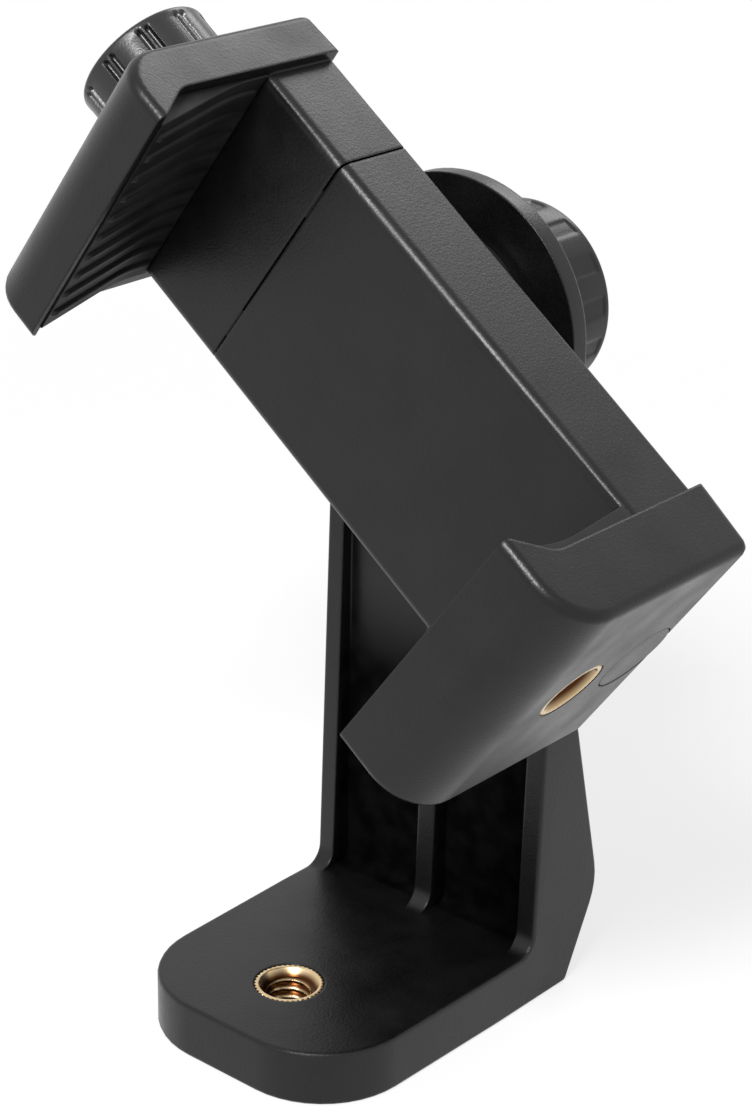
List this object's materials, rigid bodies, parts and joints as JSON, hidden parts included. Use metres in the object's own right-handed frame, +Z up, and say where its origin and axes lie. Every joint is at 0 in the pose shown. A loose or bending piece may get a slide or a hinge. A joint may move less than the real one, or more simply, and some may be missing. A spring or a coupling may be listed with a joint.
{
  "type": "tripod phone mount adapter",
  "caption": "Phone clamp that tilts on an L-shaped ribbed bracket, with fluted locking knobs and brass camera-screw inserts.",
  "frame": {"origin": "on the axis of the foot's threaded insert, in the plane of the foot's underside", "axes": "+Z up along the upright, -Y the side that faces the phone, X across the foot"},
  "size_m": [0.0946, 0.0582, 0.1257],
  "materials": {
    "moulding": "fine matte texture",
    "knob": "satin",
    "pad": "matte",
    "brass": "turned",
    "steel": "zinc plated"
  },
  "bodies": {
    "base": {"bracket": "moulding", "foot_insert": "brass"},
    "clamp": {"clamp_body": "moulding", "lower_pad": "pad", "jaw_insert": "brass", "bore_plug": "moulding", "clamp_nut": "brass", "pivot_hub": "moulding", "hub_screw_upper": "steel", "hub_screw_lower": "steel", "pivot_bolt": "steel", "friction_ring": "pad"},
    "jaw": {"upper_jaw": "moulding", "upper_pad": "pad", "jaw_washer": "steel"},
    "jaw_screw": {"jaw_knob": "knob", "jaw_knob_cap": "knob", "clamp_screw": "steel", "screw_clip": "steel", "screw_stop": "steel"},
    "tilt_washer": {"tilt_washer": "steel"},
    "tilt_knob": {"tilt_knob": "knob", "tilt_nut": "brass", "tilt_knob_cap": "knob"}
  },
  "joints": [
    {"name": "clamp_tilt", "type": "hinge", "parent": "base", "child": "clamp", "pos_m": [0, 0.0258, 0.0891], "axis": [0, 1, 0], "continuous": true},
    {"name": "jaw_slide", "type": "slide", "parent": "clamp", "child": "jaw", "axis": [-0.8039, 0, 0.5948], "range_m": [0, 0.028]},
    {"name": "jaw_knob_spin", "type": "hinge", "parent": "jaw", "child": "jaw_screw", "pos_m": [0, 0.01525, 0.0891], "axis": [-0.8039, 0, 0.5948], "range_deg": [0, 12605]},
    {"name": "tilt_knob_back_off", "type": "slide", "parent": "clamp", "child": "tilt_washer", "axis": [0, 1, 0], "range_m": [0, 0.0015]},
    {"name": "tilt_knob_spin", "type": "hinge", "parent": "tilt_washer", "child": "tilt_knob", "pos_m": [0, 0.0395, 0.0891], "axis": [0, 1, 0], "range_deg": [0, 541]}
  ],
  "couplings": [
    {"joint": "jaw_knob_spin", "follows": "jaw_slide", "rad_per_m": 7854},
    {"joint": "tilt_knob_spin", "follows": "tilt_knob_back_off", "rad_per_m": 6283.2}
  ]
}
